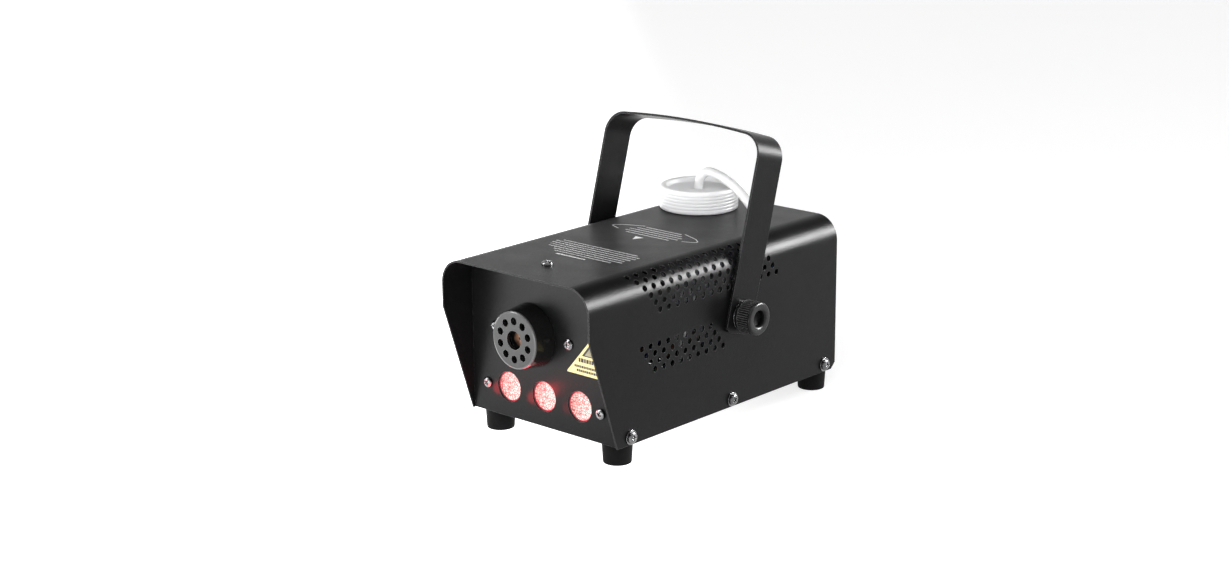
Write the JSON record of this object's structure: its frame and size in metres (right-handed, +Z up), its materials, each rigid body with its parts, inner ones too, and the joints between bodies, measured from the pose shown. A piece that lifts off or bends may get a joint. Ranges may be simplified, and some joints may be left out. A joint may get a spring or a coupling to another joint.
{
  "type": "fog machine",
  "caption": "Compact stage fog machine: vented black sheet-metal hood, heated front nozzle with perforated guard, red lamps, fluid bottle, pump and a tilting carrying yoke.",
  "frame": {"origin": "on the floor, under the middle of the body", "axes": "+Z up; -Y towards the nozzle and lamps; +X to the viewer's right when looking along +Y"},
  "size_m": [0.1586, 0.241, 0.188],
  "materials": {
    "hood_coat": "satin black powder coat",
    "chassis_coat": "satin black powder coat",
    "dark_zinc": "black zinc",
    "rubber_black": "matte",
    "zinc_steel": "zinc plated",
    "yoke_coat": "satin black powder coat",
    "knob_black": "satin",
    "milky_plastic": "translucent milky",
    "cap_white": "translucent white",
    "hose_clear": "translucent tube",
    "brass_parts": "satin",
    "guard_black": "gloss side, satin face",
    "copper_jet": "heat stained",
    "heater_alu": "cast",
    "fibre_sleeve": "woven glass fibre",
    "lamp_lens": "clear, lit red from behind",
    "black_plastic": "matte",
    "sticker_yellow": "printed film",
    "board_green": "solder mask",
    "coil_yellow": "taped winding",
    "fuse_glass": "clear tube"
  },
  "bodies": {
    "body": {"hood": "hood_coat", "chassis": "chassis_coat", "hood_screws": "dark_zinc", "hood_screw_washers": "dark_zinc", "foot_front_left": "rubber_black", "foot_front_right": "rubber_black", "foot_rear_left": "rubber_black", "foot_rear_right": "rubber_black", "foot_screws": "zinc_steel", "rivet_nuts": "zinc_steel", "bottle": "milky_plastic", "bottle_tray": "yoke_coat", "hose_grommet": "rubber_black", "supply_hose": "hose_clear", "hose_filter": "brass_parts", "nozzle_guard": "guard_black", "guard_ring_nut": "zinc_steel", "nozzle_tube": "copper_jet", "heater_block": "heater_alu", "heater_sleeve": "fibre_sleeve", "heater_bracket": "zinc_steel", "heater_standoffs": "brass_parts", "heater_screws": "dark_zinc", "thermostat": "zinc_steel", "feed_tube": "hose_clear", "lamp_lens_left": "lamp_lens", "lamp_lens_middle": "lamp_lens", "lamp_lens_right": "lamp_lens", "lamp_holders": "black_plastic", "lamp_board": "heater_alu", "lamp_bracket": "heater_alu", "panel_screws": "dark_zinc", "warning_sticker": "sticker_yellow", "pump_body": "black_plastic", "pump_coil": "zinc_steel", "pump_mounts": "rubber_black", "control_board": "board_green", "transformer": "coil_yellow", "relay": "black_plastic", "terminal_block": "board_green", "radio_receiver": "board_green", "wiring": "black_plastic", "switch_frame": "black_plastic", "inlet_socket": "black_plastic", "inlet_pins": "brass_parts", "inlet_screws": "dark_zinc"},
    "yoke": {"yoke": "yoke_coat", "yoke_spacers": "rubber_black"},
    "knob_washer_left": {"washer_left": "dark_zinc"},
    "knob_washer_right": {"washer_right": "dark_zinc"},
    "knob_left": {"knob_left": "knob_black", "stud_left": "zinc_steel"},
    "knob_right": {"knob_right": "knob_black", "stud_right": "zinc_steel"},
    "cap_bushing": {"cap_bushing": "cap_white"},
    "cap": {"bottle_cap": "cap_white"},
    "power_paddle": {"switch_paddle": "black_plastic"},
    "fuse_drawer": {"fuse_drawer": "black_plastic", "fuse": "fuse_glass"},
    "pump_plunger": {"pump_plunger": "zinc_steel"}
  },
  "joints": [
    {"name": "yoke_tilt", "type": "hinge", "parent": "body", "child": "yoke", "pos_m": [0, 0.0177, 0.0734], "axis": [1, 0, 0], "range_deg": [-44, 74]},
    {"name": "knob_travel_left", "type": "slide", "parent": "body", "child": "knob_washer_left", "axis": [-1, 0, 0], "range_m": [0, 0.002]},
    {"name": "knob_turn_left", "type": "hinge", "parent": "knob_washer_left", "child": "knob_left", "pos_m": [-0.07, 0.0177, 0.0734], "axis": [-1, 0, 0], "range_deg": [0, 720]},
    {"name": "knob_travel_right", "type": "slide", "parent": "body", "child": "knob_washer_right", "axis": [1, 0, 0], "range_m": [0, 0.002]},
    {"name": "knob_turn_right", "type": "hinge", "parent": "knob_washer_right", "child": "knob_right", "pos_m": [0.07, 0.0177, 0.0734], "axis": [1, 0, 0], "range_deg": [0, 720]},
    {"name": "cap_lift", "type": "slide", "parent": "body", "child": "cap_bushing", "axis": [0, 0, 1], "range_m": [0, 0.003]},
    {"name": "cap_turn", "type": "hinge", "parent": "cap_bushing", "child": "cap", "pos_m": [-0.0257, 0.0832, 0.12], "axis": [0, 0, 1], "range_deg": [0, 360]},
    {"name": "power_rock", "type": "hinge", "parent": "body", "child": "power_paddle", "pos_m": [0.028, 0.1147, 0.0886], "axis": [0, 0, 1], "range_deg": [-18, 0]},
    {"name": "fuse_drawer_slide", "type": "slide", "parent": "body", "child": "fuse_drawer", "axis": [0, 1, 0], "range_m": [0, 0.018]},
    {"name": "pump_stroke", "type": "slide", "parent": "body", "child": "pump_plunger", "axis": [0, 1, 0], "range_m": [-0.002, 0.002], "stiffness_N_per_m": 400}
  ],
  "couplings": [
    {"joint": "knob_turn_left", "follows": "knob_travel_left", "rad_per_m": 6283.2},
    {"joint": "knob_turn_right", "follows": "knob_travel_right", "rad_per_m": 6283.2},
    {"joint": "cap_turn", "follows": "cap_lift", "rad_per_m": 2094.4}
  ]
}
